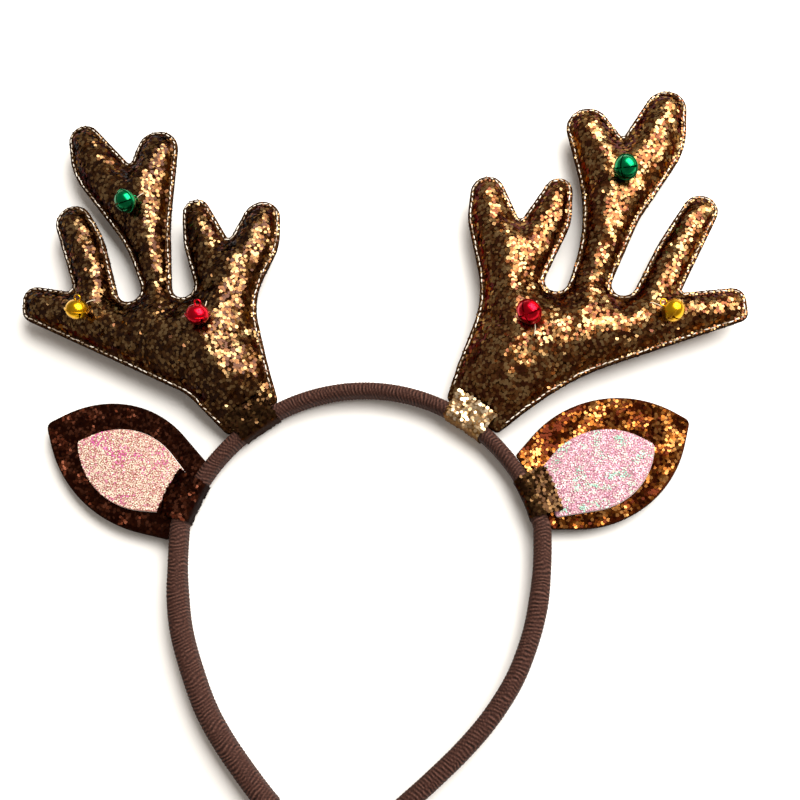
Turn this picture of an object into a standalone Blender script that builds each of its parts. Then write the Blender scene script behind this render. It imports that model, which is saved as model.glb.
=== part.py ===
"""Reindeer antler headband: a ribbon-covered hoop that carries two padded glitter antlers and two flat
felt ears, each held by a strip glued round the hoop, with three jingle bells sewn on each antler.

It lies on its back: the front of the headband looks up (+Z), the antler tips point to +Y and the wearer's
hoop opening is below the antlers. Tables are in millimetres, measured from a point at the middle of the
hoop's crown. OUTLINE_CENTRE moves the middle of the whole outline to the origin.
"""

import math

import bmesh
import bpy
import numpy as np
from mathutils import Matrix, Vector
from mathutils.bvhtree import BVHTree

MM = 0.001
OUTLINE_CENTRE = (1.3, -11.7)
GAP = 0.35

# Hoop: a flat bar, bent to an arc over the head with two legs that curl in
HOOP_CENTRE = Vector((0.3, -62.2))
HOOP_RADIUS = 66.7
HOOP_THICK = 5.2
HOOP_DEEP = 8.6
HOOP_CORNER = 2.2
LEG_SWELL = 1.12
SWELL_LENGTH = 15
TIP_TAPER = 0.72
ARC_HALF_ANGLE = 76
ARC_PIECES = 12
BAND_Z = 5.8
LEG_TABLE = (
    # y, left x, right x
    (-58.4, -64.1, 65.0),
    (-71.5, -62.9, 63.7),
    (-83.6, -60.4, 60.9),
    (-96.7, -55.5, 55.8),
    (-109.3, -49.5, 47.9),
    (-119.9, -42.3, 38.9),
    (-130.0, -33.9, 28.6),
    (-136.7, -27.8, 21.2),
    (-141.2, -23.2, 16.2),
)

# Antlers: two layers sewn round the edge, with stuffing inside the seam
CLOTH = 0.9
SEAM = 2.0
PAD_HALF_THICK = 10.2
PAD_REACH = 15.0
PAD_FULLNESS = 0.6
ANTLER_Z = 9.3
TAIL_RISE = 16.0
GRID = 4.6
ARC_STEP = 3.6
ARC_TURN = math.radians(50)

# Each row is a circle that the outline goes round, a negative radius bites in
RIGHT_ANTLER = (
    # name, x, y, radius
    ("stem_waist", 2.5, 41.0, -40.0),
    ("brow_inner_side", 59.6, 71.0, 22.0),
    ("brow_inner_tip", 44.8, 80.3, 6.5),
    ("brow_notch", 57.3, 70.5, -1.2),
    ("brow_outer_tip", 71.0, 79.7, 5.3),
    ("brow_outer_side", 53.5, 72.0, 22.5),
    ("gap_inner", 70.3, 44.3, -4.3),
    ("beam_side", 7.7, 71.0, -72.0),
    ("main_inner_tip", 82.0, 105.5, 8.0),
    ("main_notch", 94.8, 102.3, -1.0),
    ("main_outer_tip", 110.7, 111.5, 7.7),
    ("main_side", 88.0, 104.0, 30.0),
    ("main_neck", 126.6, 53.1, -30.0),
    ("gap_outer", 94.1, 42.1, -4.3),
    ("tine_side", 163.4, 26.0, 65.0),
    ("tine_tip", 121.6, 69.6, 6.4),
    ("tine_notch", 115.4, 39.6, -1.0),
    ("outer_tip_upper", 131.5, 35.0, 4.8),
    ("outer_tip_lower", 133.5, 30.3, 3.2),
    ("lower_edge", 117.8, -71.9, -88.5),
)
LEFT_ANTLER = (
    # name, x to the left, y, radius
    ("stem_waist", 12.9, 38.0, -28.0),
    ("brow_inner_side", 56.0, 65.0, 22.2),
    ("brow_inner_tip", 41.5, 72.3, 7.4),
    ("brow_notch", 53.8, 66.4, -1.2),
    ("brow_outer_tip", 67.7, 76.3, 5.4),
    ("brow_outer_side", 33.5, 71.8, 39.0),
    ("gap_inner", 70.2, 45.6, -4.4),
    ("beam_side", -42.4, 78.0, -120.0),
    ("main_inner_tip", 86.0, 103.5, 8.5),
    ("main_notch", 97.0, 99.8, -1.2),
    ("main_outer_tip", 117.0, 109.6, 6.4),
    ("main_side", 92.4, 107.5, 30.0),
    ("main_neck", 145.8, 30.7, -60.0),
    ("gap_outer", 91.5, 44.5, -4.7),
    ("tine_side", 149.3, 44.5, 50.0),
    ("tine_tip", 117.3, 73.4, 7.3),
    ("tine_notch", 116.6, 46.8, -2.0),
    ("outer_tip_upper", 129.2, 41.8, 5.0),
    ("outer_tip_lower", 128.4, 37.6, 5.4),
    ("lower_bend", 79.3, -18.0, -25.0),
)

# Ears: flat sheets with a smaller leaf on the front
EAR_THICK = 1.2
EAR_Z = BAND_Z - 0.5
LEAF_THICK = 1.0
LEAF_CLEAR = 3.0
RIGHT_EAR = (
    ("ear_top", 91.0, -37.4, 38.4),
    ("ear_tip", 112.9, -8.8, 2.6),
    ("ear_belly", 76.7, -7.7, 38.1),
)
RIGHT_LEAF = (
    ("leaf_top", 87.4, -34.8, 24.0),
    ("leaf_tip", 101.5, -17.4, 2.0),
    ("leaf_belly", 79.9, -16.3, 23.6),
)
LEFT_EAR = (
    ("ear_top", 95.3, -39.1, 39.8),
    ("ear_tip", 117.0, -8.5, 2.7),
    ("ear_belly", 68.8, 2.5, 51.8),
)
LEFT_LEAF = (
    ("leaf_top", 90.4, -36.8, 27.1),
    ("leaf_tip", 104.6, -15.4, 1.8),
    ("leaf_belly", 77.2, -11.1, 29.4),
)

# Where each sheet meets the hoop, by the angles of its two corners from the crown
SEATS = {
    # name: first angle, last angle, corner radius, clearance to the hoop
    "antler_right": (27.5, 42.5, 2.5, GAP),
    "antler_left": (28.3, 42.8, 2.5, GAP),
    "ear_right": (53.2, 75.8, 1.0, GAP),
    "ear_left": (55.5, 79.6, 1.0, GAP),
    "ear_leaf_right": (61.0, 73.2, 0.8, LEAF_CLEAR),
    "ear_leaf_left": (61.4, 72.6, 0.8, LEAF_CLEAR),
}

# Strips glued round the hoop, by their angle from the crown
STRIP_THICK = 1.0
STRIP_STEPS = 4
STRIPS = (
    # name, side, start angle, end angle, reach past the hoop's centre line, front lift, back lift, material
    ("antler_tab_right", 1, 28.2, 41.3, 7.7, 4.3, -4.3, "gold_glitter"),
    ("antler_tab_left", -1, 28.6, 41.8, 7.7, 4.3, -4.3, "brown_glitter"),
    ("ear_tab_right", 1, 59.6, 72.4, 8.9, 1.5, -1.5, "brown_glitter"),
    ("ear_tab_left", -1, 60.6, 74.0, 9.4, 1.5, -1.5, "brown_glitter"),
)

# Jingle bells: a split shell with a rim round the middle, two crossed slots and a wire loop
BELL_RADIUS = 4.2
BELL_WALL = 0.5
BELL_SIDES = 12
BELL_RINGS = 8
RIM_SWELL = 1.05
SLOT_WIDE = 0.9
SLOT_DEEP = 3.4
LOOP_RADIUS = 1.2
LOOP_WIRE = 0.35
BELLS = (
    # name, antler, x, y, turn of the loop from +Y, material
    ("bell_right_green", "antler_right", 95.3, 83.0, 8, "green_metal"),
    ("bell_right_red", "antler_right", 61.0, 27.5, -18, "red_metal"),
    ("bell_right_yellow", "antler_right", 110.4, 28.2, 55, "yellow_metal"),
    ("bell_left_green", "antler_left", -92.6, 77.0, -50, "green_metal"),
    ("bell_left_yellow", "antler_left", -106.7, 33.1, -12, "yellow_metal"),
    ("bell_left_red", "antler_left", -59.0, 29.2, -140, "red_metal"),
)

FINISHES = {
    # name: colour, roughness, metallic
    "ribbon_brown": ((0.075, 0.035, 0.028, 1), 0.85, 0.0),
    "bronze_glitter": ((0.20, 0.105, 0.045, 1), 0.35, 0.7),
    "gold_glitter": ((0.62, 0.42, 0.17, 1), 0.3, 0.8),
    "brown_glitter": ((0.055, 0.03, 0.015, 1), 0.4, 0.5),
    "copper_glitter": ((0.28, 0.085, 0.022, 1), 0.35, 0.6),
    "dark_glitter": ((0.035, 0.012, 0.009, 1), 0.4, 0.5),
    "pink_glitter": ((0.80, 0.45, 0.62, 1), 0.45, 0.1),
    "peach_glitter": ((0.86, 0.56, 0.44, 1), 0.45, 0.1),
    "green_metal": ((0.01, 0.30, 0.07, 1), 0.2, 1.0),
    "red_metal": ((0.52, 0.01, 0.015, 1), 0.2, 1.0),
    "yellow_metal": ((0.72, 0.42, 0.03, 1), 0.2, 1.0),
}


def clear_scene():
    for obj in list(bpy.data.objects):
        bpy.data.objects.remove(obj, do_unlink=True)


def new_collection(name):
    collection = bpy.data.collections.new(name)
    bpy.context.scene.collection.children.link(collection)
    return collection


def new_material(name):
    colour, roughness, metallic = FINISHES[name]
    material = bpy.data.materials.new(name)
    material.use_nodes = True
    surface = material.node_tree.nodes["Principled BSDF"]
    surface.inputs["Base Color"].default_value = colour
    surface.inputs["Roughness"].default_value = roughness
    surface.inputs["Metallic"].default_value = metallic
    return material


def add_part(name, bm, material, collection):
    """Turns a mesh in millimetres into an object in metres, with the outline's middle at the origin."""
    bm.transform(Matrix.Scale(MM, 4))
    mesh = bpy.data.meshes.new(name)
    bm.to_mesh(mesh)
    bm.free()
    mesh.shade_smooth()
    mesh.set_sharp_from_angle(angle=math.radians(40))
    mesh.materials.append(material)
    part = bpy.data.objects.new(name, mesh)
    part.location = (-OUTLINE_CENTRE[0] * MM, -OUTLINE_CENTRE[1] * MM, 0)
    collection.objects.link(part)
    return part


def belt(rows):
    """Follows a tight belt clockwise round the circles: its points, each with its outward normal."""
    circles = [(Vector((x, y)), radius) for _, x, y, radius in rows]
    headings = []
    for (start, start_radius), (end, end_radius) in zip(circles, circles[1:] + circles[:1]):
        run = end - start
        lean = math.asin((start_radius - end_radius) / run.length)
        headings.append(math.atan2(run.y, run.x) - lean)
    points = []
    for k, (centre, radius) in enumerate(circles):
        turn = (headings[k] - headings[k - 1]) % math.tau
        if radius > 0:
            turn -= math.tau
        steps = math.ceil(max(abs(turn * radius) / ARC_STEP, abs(turn) / ARC_TURN))
        for step in range(steps + 1):
            heading = headings[k - 1] + turn * step / steps
            normal = Vector((-math.sin(heading), math.cos(heading)))
            point = centre + radius * normal
            if not points or (point - points[-1][0]).length > 0.1:
                points.append((point, normal))
    return points


def seated(name, rows, side):
    """Closes an outline with two corners and a bite along the outer face of the hoop."""
    first, last, corner, clearance = SEATS[name]
    seat = HOOP_RADIUS + HOOP_THICK / 2 + clearance
    centre = Vector((HOOP_CENTRE.x * side, HOOP_CENTRE.y))
    first_spot, last_spot = (centre + (seat + corner + 0.05) * from_crown(angle) for angle in (first, last))
    return (
        ("first_corner", *first_spot, corner),
        *rows,
        ("last_corner", *last_spot, corner),
        ("hoop_seat", *centre, -seat),
    )


def from_crown(angle):
    """Unit direction at an angle in degrees from +Y, clockwise."""
    return Vector((math.sin(math.radians(angle)), math.cos(math.radians(angle))))


def smooth_step(value):
    value = min(max(value, 0.0), 1.0)
    return value * value * (3 - 2 * value)


def edge_distance(point, edge):
    """Shortest distance from a point to a closed outline."""
    ends = np.array(edge)
    starts = np.roll(ends, 1, axis=0)
    runs = ends - starts
    spans = np.maximum((runs**2).sum(axis=1), 1e-9)
    share = np.clip(((np.array(point) - starts) * runs).sum(axis=1) / spans, 0, 1)
    nearest = starts + share[:, None] * runs
    return float(np.hypot(*(np.array(point) - nearest).T).min())


def antler(name, rows, side, material, collection):
    """Cuts the sewn outline, lays a grid over it, and fills both sides inside the seam."""
    centre = Vector((HOOP_CENTRE.x * side, HOOP_CENTRE.y))
    edge = belt(seated(name, rows, side))
    bm = bmesh.new()
    rim = [bm.verts.new((*point, 0)) for point, _ in edge]
    seam = [bm.verts.new((*(point - SEAM * normal), 0)) for point, normal in edge]
    for k in range(len(edge)):
        bm.faces.new((rim[k - 1], rim[k], seam[k], seam[k - 1]))
    bm.faces.new(seam)
    for axis in (Vector((1, 0, 0)), Vector((0, 1, 0))):
        heights = [vert.co.dot(axis) for vert in rim]
        for line in range(math.ceil(min(heights) / GRID), math.ceil(max(heights) / GRID)):
            geometry = bm.verts[:] + bm.edges[:] + bm.faces[:]
            bmesh.ops.bisect_plane(bm, geom=geometry, dist=0.5, plane_co=axis * line * GRID, plane_no=axis)
    bmesh.ops.remove_doubles(bm, verts=bm.verts, dist=0.2)
    made = bmesh.ops.extrude_face_region(bm, geom=bm.faces[:], use_keep_orig=True)["geom"]
    front = {item for item in made if isinstance(item, bmesh.types.BMVert)}
    outline = [tuple(point) for point, _ in edge]
    filled = []
    for vert in bm.verts:
        depth = edge_distance(vert.co.xy, outline) - SEAM
        from_hoop = (vert.co.xy - centre).length - HOOP_RADIUS - HOOP_THICK / 2
        lift = smooth_step(from_hoop / TAIL_RISE)
        half = CLOTH
        if depth > 0.3:
            half += PAD_HALF_THICK * (min(depth, PAD_REACH) / PAD_REACH) ** PAD_FULLNESS * lift
            filled.append(vert)
        middle = BAND_Z + (ANTLER_Z - BAND_Z) * lift
        vert.co.z = middle + half if vert in front else middle - half
    for _ in range(3):
        bmesh.ops.smooth_vert(bm, verts=filled, factor=0.5, use_axis_z=True)
    for vert in bm.verts:
        vert.co.x *= side
        vert.co.z = max(vert.co.z, 0)
    bmesh.ops.recalc_face_normals(bm, faces=bm.faces)
    bmesh.ops.triangulate(bm, faces=bm.faces)
    return add_part(name, bm, material, collection)


def flat_sheet(name, rows, side, bottom, thick, material, collection):
    bm = bmesh.new()
    face = bm.faces.new([bm.verts.new((*point, bottom)) for point, _ in belt(seated(name, rows, side))])
    made = bmesh.ops.extrude_face_region(bm, geom=[face], use_keep_orig=True)["geom"]
    top = [item for item in made if isinstance(item, bmesh.types.BMVert)]
    bmesh.ops.translate(bm, verts=top, vec=(0, 0, thick))
    bmesh.ops.scale(bm, verts=bm.verts, vec=(side, 1, 1))
    bmesh.ops.recalc_face_normals(bm, faces=bm.faces)
    return add_part(name, bm, material, collection)


def hoop_path():
    """Centre line of the hoop from the left end over the crown to the right end."""
    arc = []
    for step in range(-ARC_PIECES, ARC_PIECES + 1):
        arc.append(HOOP_CENTRE + HOOP_RADIUS * from_crown(ARC_HALF_ANGLE * step / ARC_PIECES))
    left = [Vector((left_x, y)) for y, left_x, _ in LEG_TABLE]
    right = [Vector((right_x, y)) for y, _, right_x in LEG_TABLE]
    return left[::-1] + arc + right


def down_leg(y):
    """How far down the legs a place is, from 0 at the ears to 1 at the tips."""
    leg_top, leg_end = LEG_TABLE[0][0], LEG_TABLE[-1][0]
    return smooth_step((leg_top - y) / (leg_top - leg_end))


def band_height(y):
    """The crown lies a strip's thickness up, and the legs come down to the surface at their ends."""
    tip = HOOP_DEEP / 2 * LEG_SWELL
    return BAND_Z + (tip - BAND_Z) * down_leg(y)


def band_size(y):
    """The legs are a little stouter than the crown, up to their tapered tips."""
    return 1 + (LEG_SWELL - 1) * smooth_step((LEG_TABLE[0][0] - y) / SWELL_LENGTH)


def curve_to_bmesh(curve_object):
    """Evaluates a curve, welds its caps and removes it."""
    graph = bpy.context.evaluated_depsgraph_get()
    mesh = bpy.data.meshes.new_from_object(curve_object.evaluated_get(graph))
    bm = bmesh.new()
    bm.from_mesh(mesh)
    bmesh.ops.remove_doubles(bm, verts=bm.verts, dist=0.001)
    bpy.data.meshes.remove(mesh)
    bpy.data.objects.remove(curve_object, do_unlink=True)
    return bm


def spline_object(name, points, cyclic):
    curve = bpy.data.curves.new(name, "CURVE")
    curve.dimensions = "3D"
    spline = curve.splines.new("POLY")
    spline.points.add(len(points) - 1)
    for spot, place in zip(spline.points, points):
        spot.co = (*place, 1)
    spline.use_cyclic_u = cyclic
    return bpy.data.objects.new(name, curve)


def bar_section():
    """Rounded rectangle, thick across X and deep along Y, clockwise."""
    points = []
    for quarter in range(4):
        flip_x = -1 if quarter in (1, 2) else 1
        flip_y = -1 if quarter in (2, 3) else 1
        for step in range(3):
            angle = math.radians(90 * quarter + 45 * step)
            x = flip_x * (HOOP_THICK / 2 - HOOP_CORNER) + HOOP_CORNER * math.cos(angle)
            y = flip_y * (HOOP_DEEP / 2 - HOOP_CORNER) + HOOP_CORNER * math.sin(angle)
            points.append((x, y, 0))
    return points


def headband(guides, material, collection):
    points = [(point.x, point.y, band_height(point.y)) for point in hoop_path()]
    path = spline_object("hoop_path", points, False)
    section = spline_object("hoop_section", bar_section(), True)
    path.data.bevel_mode = "OBJECT"
    path.data.bevel_object = section
    path.data.use_fill_caps = True
    path.data.twist_mode = "Z_UP"
    for spot in path.data.splines[0].points:
        spot.radius = band_size(spot.co.y)
    for tip in (0, -1):
        path.data.splines[0].points[tip].radius = TIP_TAPER
    for guide in (path, section):
        guide.hide_render = True
        guides.objects.link(guide)
    bm = curve_to_bmesh(path)
    bmesh.ops.recalc_face_normals(bm, faces=bm.faces)
    bpy.data.objects.remove(section, do_unlink=True)
    return add_part("headband", bm, material, collection)


def offset_path(path, distance):
    """Moves an open path sideways, to its left, keeping its corners square."""
    moved = []
    for k, point in enumerate(path):
        before = (point - path[k - 1]).normalized() if k else (path[1] - point).normalized()
        after = (path[k + 1] - point).normalized() if k < len(path) - 1 else before
        along = (before + after).normalized()
        across = Vector((-along.y, along.x))
        moved.append(point + across * distance / max(along.dot(before), 0.5))
    return moved


def strip(name, side, start, end, reach, front, back, material, collection):
    """A strip that wraps the hoop's front, inner face and back, with a flap on each side of what it holds."""
    inner = HOOP_RADIUS - HOOP_THICK / 2 - GAP
    outer = HOOP_RADIUS + HOOP_THICK / 2
    top = HOOP_DEEP / 2 + GAP
    corner = HOOP_CORNER / 2
    path = [
        Vector((HOOP_RADIUS + reach, BAND_Z + front + GAP)),
        Vector((outer, BAND_Z + top)),
        Vector((inner + corner, BAND_Z + top)),
        Vector((inner, BAND_Z + top - corner)),
        Vector((inner, BAND_Z - top + corner)),
        Vector((inner + corner, BAND_Z - top)),
        Vector((outer, BAND_Z - top)),
        Vector((HOOP_RADIUS + reach, BAND_Z + back - GAP)),
    ]
    section = path + offset_path(path, -STRIP_THICK)[::-1]
    bm = bmesh.new()
    face = bm.faces.new([bm.verts.new((0, spot.x, spot.y)) for spot in section])
    sweep = math.radians(end - start)
    bmesh.ops.spin(bm, geom=[face], cent=(0, 0, 0), axis=(0, 0, -1), angle=sweep, steps=STRIP_STEPS)
    bmesh.ops.rotate(bm, verts=bm.verts, cent=(0, 0, 0), matrix=Matrix.Rotation(-math.radians(start), 3, "Z"))
    bmesh.ops.scale(bm, verts=bm.verts, vec=(side, 1, 1))
    bmesh.ops.translate(bm, verts=bm.verts, vec=(*HOOP_CENTRE, 0))
    bmesh.ops.holes_fill(bm, edges=bm.edges, sides=0)
    bmesh.ops.recalc_face_normals(bm, faces=bm.faces)
    return add_part(name, bm, material, collection)


def bell_mesh(cutters):
    """The bell that all six share, with its loop up and its slots down."""
    bm = bmesh.new()
    bmesh.ops.create_uvsphere(bm, u_segments=BELL_SIDES, v_segments=BELL_RINGS, radius=BELL_RADIUS * MM)
    for vert in bm.verts:
        if abs(vert.co.z) < 1e-6:
            vert.co *= RIM_SWELL
    hollow = bmesh.ops.create_uvsphere(
        bm, u_segments=BELL_SIDES, v_segments=BELL_RINGS, radius=(BELL_RADIUS - BELL_WALL) * MM
    )
    hollow_faces = {face for vert in hollow["verts"] for face in vert.link_faces}
    bmesh.ops.reverse_faces(bm, faces=list(hollow_faces))
    mesh = bpy.data.meshes.new("bell_shell")
    bm.to_mesh(mesh)
    bm.free()
    bell = bpy.data.objects.new("bell_shell", mesh)
    bpy.context.scene.collection.objects.link(bell)
    for turn in (0, 90):
        bpy.ops.mesh.primitive_cube_add(size=1, location=(0, 0, -(BELL_RADIUS - SLOT_DEEP / 2 + 0.4) * MM))
        slot = bpy.context.object
        slot.name = f"bell_slot_{turn}"
        slot.scale = (SLOT_WIDE * MM, BELL_RADIUS * 2.2 * MM, (SLOT_DEEP + 0.8) * MM)
        slot.rotation_euler.z = math.radians(turn)
        join(bell, slot, "DIFFERENCE", cutters)
    bpy.ops.mesh.primitive_torus_add(
        major_radius=LOOP_RADIUS * MM,
        minor_radius=LOOP_WIRE * MM,
        major_segments=10,
        minor_segments=5,
        location=(0, 0, (BELL_RADIUS + 0.75) * MM),
        rotation=(math.radians(90), 0, 0),
    )
    loop = bpy.context.object
    loop.name = "bell_loop"
    join(bell, loop, "UNION", cutters)
    graph = bpy.context.evaluated_depsgraph_get()
    finished = bpy.data.meshes.new_from_object(bell.evaluated_get(graph))
    bpy.data.objects.remove(bell, do_unlink=True)
    finished.shade_smooth()
    finished.set_sharp_from_angle(angle=math.radians(40))
    return finished


def join(target, tool, operation, cutters):
    modifier = target.modifiers.new(tool.name, "BOOLEAN")
    modifier.operation = operation
    modifier.object = tool
    modifier.solver = "EXACT"
    for collection in list(tool.users_collection):
        collection.objects.unlink(tool)
    cutters.objects.link(tool)
    tool.hide_render = True
    tool.display_type = "WIRE"


def seat_height(antler_part, x, y):
    """Height of a bell's middle, with the bell lying on the padded front."""
    bm = bmesh.new()
    bm.from_mesh(antler_part.data)
    surface = BVHTree.FromBMesh(bm)
    bm.free()
    height = BELL_RADIUS * RIM_SWELL + GAP
    spot = Vector((x, y, 40)) * MM
    spot.z = surface.ray_cast(spot, Vector((0, 0, -1)))[0].z + height * MM
    for _ in range(20):
        spot.z += height * MM - surface.find_nearest(spot)[3]
    return spot


def bell(name, antler_part, x, y, turn, mesh, material, collection):
    part = bpy.data.objects.new(name, mesh)
    collection.objects.link(part)
    spot = seat_height(antler_part, x, y)
    part.location = spot - Vector((*OUTLINE_CENTRE, 0)) * MM
    part.rotation_euler = (math.radians(-90), 0, math.radians(turn))
    part.material_slots[0].link = "OBJECT"
    part.material_slots[0].material = material
    return part


def build():
    clear_scene()
    collection = new_collection("reindeer_antler_headband")
    cutters = new_collection("cutters")
    finish = {name: new_material(name) for name in FINISHES}
    headband(cutters, finish["ribbon_brown"], collection)
    antlers = {
        "antler_right": antler("antler_right", RIGHT_ANTLER, 1, finish["bronze_glitter"], collection),
        "antler_left": antler("antler_left", LEFT_ANTLER, -1, finish["bronze_glitter"], collection),
    }
    leaf_z = EAR_Z + EAR_THICK / 2 + GAP
    for side, word, ear_rows, leaf_rows, ear_finish, leaf_finish in (
        (1, "right", RIGHT_EAR, RIGHT_LEAF, "copper_glitter", "pink_glitter"),
        (-1, "left", LEFT_EAR, LEFT_LEAF, "dark_glitter", "peach_glitter"),
    ):
        ear_z = EAR_Z - EAR_THICK / 2
        flat_sheet(f"ear_{word}", ear_rows, side, ear_z, EAR_THICK, finish[ear_finish], collection)
        leaf_material = finish[leaf_finish]
        flat_sheet(f"ear_leaf_{word}", leaf_rows, side, leaf_z, LEAF_THICK, leaf_material, collection)
    for name, side, start, end, reach, front, back, strip_finish in STRIPS:
        strip(name, side, start, end, reach, front, back, finish[strip_finish], collection)
    shell = bell_mesh(cutters)
    shell.materials.append(finish["red_metal"])
    for name, carrier, x, y, turn, bell_finish in BELLS:
        bell(name, antlers[carrier], x, y, turn, shell, finish[bell_finish], collection)


build()
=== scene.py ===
"""Looks of the reindeer antler headband.

Padded glitter antlers with a stitched edge, flat glitter ears, a hoop in ribbed ribbon, strips of glitter
cloth round the joints, and six jingle bells tied on with thread.

Tables are in millimetres from the middle of the hoop's crown, as in part.py. PLACE brings them to the frame.
"""

import math

import bmesh
import bpy
import numpy as np
from mathutils import Matrix, Vector, noise
from mathutils.bvhtree import BVHTree


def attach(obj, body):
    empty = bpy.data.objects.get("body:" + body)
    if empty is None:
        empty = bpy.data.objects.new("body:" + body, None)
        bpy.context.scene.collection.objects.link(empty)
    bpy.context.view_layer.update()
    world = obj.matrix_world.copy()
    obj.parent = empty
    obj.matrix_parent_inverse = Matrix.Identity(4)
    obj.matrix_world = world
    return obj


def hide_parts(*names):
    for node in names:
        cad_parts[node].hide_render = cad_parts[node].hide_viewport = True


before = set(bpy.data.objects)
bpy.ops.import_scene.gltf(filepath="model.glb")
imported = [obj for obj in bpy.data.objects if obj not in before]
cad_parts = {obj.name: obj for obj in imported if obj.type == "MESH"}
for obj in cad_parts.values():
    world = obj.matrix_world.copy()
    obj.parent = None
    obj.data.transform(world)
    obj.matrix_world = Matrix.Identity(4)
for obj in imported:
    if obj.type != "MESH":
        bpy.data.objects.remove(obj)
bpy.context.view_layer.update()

MM = 0.001
OUTLINE_CENTRE = (1.3, -11.7)
PLACE = Matrix.Scale(MM, 4) @ Matrix.Translation((-OUTLINE_CENTRE[0], -OUTLINE_CENTRE[1], 0))

# Gap between pieces, hair between outlines, distance at which points snap, height above all, lowest point
GAP = 0.35
HAIR = 0.05
SNAP = 0.3
ABOVE = 60
CLEAR_FLOOR = 0.3

# Hoop, as in part.py
HOOP_CENTRE = Vector((0.3, -62.2))
HOOP_RADIUS = 66.7
HOOP_THICK = 5.2
HOOP_DEEP = 8.6
HOOP_CORNER = 2.5
ARC_HALF_ANGLE = 76
BAND_Z = 5.8
LEG_TABLE = (
    # y, left x, right x
    (-58.4, -64.1, 65.0),
    (-71.5, -62.9, 63.7),
    (-83.6, -60.4, 60.9),
    (-96.7, -55.5, 55.8),
    (-109.3, -49.5, 47.9),
    (-119.9, -42.3, 38.9),
    (-130.0, -33.9, 28.6),
    (-136.7, -27.8, 21.2),
    (-141.2, -23.2, 16.2),
)

# The ribbon is gathered on the legs: they swell, and each side is wider by a share, high up and low down
LEG_SWELL = 1.12
LEG_WIDEN = {-1: (0.18, 0.22), 1: (0.18, 0.05)}
WIDEN_FROM = -34
SWELL_LENGTH = 15
RIB_PITCH = 1.3
RIB_STEPS = 6
RIB_HEIGHT = 0.36
RIB_SIDE = 0.35
RIB_SLANT = 0.3
RIB_WAVER = 1.1
RIB_WAVER_SIZE = 5
RIB_PULL = 0.75
RIB_PULL_SPREAD = 0.9
RIB_PULL_SIZE = 1.6
TIP_ROUND = 3.0

# Antlers, as in part.py but on a finer net
CLOTH = 0.9
SEAM = 2.0
SEAM_RING = 2.9
PAD_HALF_THICK = 9.6
PAD_REACH = 15.0
PAD_FULLNESS = 0.6
ANTLER_Z = 9.3
TAIL_RISE = 16.0
NET = 2.2
ARC_STEP = 1.6
ARC_TURN = math.radians(24)
SMOOTH_PASSES = 6

# Air pressure in the cover, worked out at one unit to 100 mm
SIM_SCALE = 0.01
SIM_FRAMES = 14
SIM_PRESSURE = 3.0
SIM_CAP = 2.2
SIM_QUALITY = 6
SIM_STIFFNESS = 1.5

RIGHT_ANTLER = (
    ("stem_waist", 2.5, 41.0, -40.0),
    ("brow_inner_side", 59.6, 71.0, 22.0),
    ("brow_inner_tip", 44.8, 80.3, 6.5),
    ("brow_notch", 57.3, 70.5, -1.2),
    ("brow_outer_tip", 71.0, 79.7, 5.3),
    ("brow_outer_side", 53.5, 72.0, 22.5),
    ("gap_inner", 70.3, 44.3, -4.3),
    ("beam_side", 7.7, 71.0, -72.0),
    ("main_inner_tip", 82.0, 105.5, 8.0),
    ("main_notch", 94.8, 102.3, -1.0),
    ("main_outer_tip", 110.7, 111.5, 7.7),
    ("main_side", 88.0, 104.0, 30.0),
    ("main_neck", 126.6, 53.1, -30.0),
    ("gap_outer", 94.1, 42.1, -4.3),
    ("tine_side", 163.4, 26.0, 65.0),
    ("tine_tip", 121.6, 69.6, 6.4),
    ("tine_notch", 115.4, 39.6, -1.0),
    ("outer_tip_upper", 131.5, 35.0, 4.8),
    ("outer_tip_lower", 133.5, 30.3, 3.2),
    ("lower_edge", 117.8, -71.9, -88.5),
)
LEFT_ANTLER = (
    ("stem_waist", 12.9, 38.0, -28.0),
    ("brow_inner_side", 56.0, 65.0, 22.2),
    ("brow_inner_tip", 41.5, 72.3, 7.4),
    ("brow_notch", 53.8, 66.4, -1.2),
    ("brow_outer_tip", 67.7, 76.3, 5.4),
    ("brow_outer_side", 33.5, 71.8, 39.0),
    ("gap_inner", 70.2, 45.6, -4.4),
    ("beam_side", -42.4, 78.0, -120.0),
    ("main_inner_tip", 86.0, 103.5, 8.5),
    ("main_notch", 97.0, 99.8, -1.2),
    ("main_outer_tip", 117.0, 109.6, 6.4),
    ("main_side", 92.4, 107.5, 30.0),
    ("main_neck", 145.8, 30.7, -60.0),
    ("gap_outer", 91.5, 44.5, -4.7),
    ("tine_side", 149.3, 44.5, 50.0),
    ("tine_tip", 117.3, 73.4, 7.3),
    ("tine_notch", 116.6, 46.8, -2.0),
    ("outer_tip_upper", 129.2, 41.8, 5.0),
    ("outer_tip_lower", 128.4, 37.6, 5.4),
    ("lower_bend", 79.3, -18.0, -25.0),
)
EAR_THICK = 1.2
EAR_Z = BAND_Z - 0.5
LEAF_THICK = 1.0
SHEET_ROUND = 0.3
LEAF_CLEAR = 3.0
RIGHT_EAR = (
    ("ear_top", 91.0, -37.4, 38.4),
    ("ear_tip", 112.9, -8.8, 2.6),
    ("ear_belly", 76.7, -7.7, 38.1),
)
RIGHT_LEAF = (
    ("leaf_top", 87.4, -34.8, 24.0),
    ("leaf_tip", 101.5, -17.4, 2.0),
    ("leaf_belly", 79.9, -16.3, 23.6),
)
LEFT_EAR = (
    ("ear_top", 95.3, -39.1, 39.8),
    ("ear_tip", 117.0, -8.5, 2.7),
    ("ear_belly", 68.8, 2.5, 51.8),
)
LEFT_LEAF = (
    ("leaf_top", 90.4, -36.8, 27.1),
    ("leaf_tip", 104.6, -15.4, 1.8),
    ("leaf_belly", 77.2, -11.1, 29.4),
)
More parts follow.
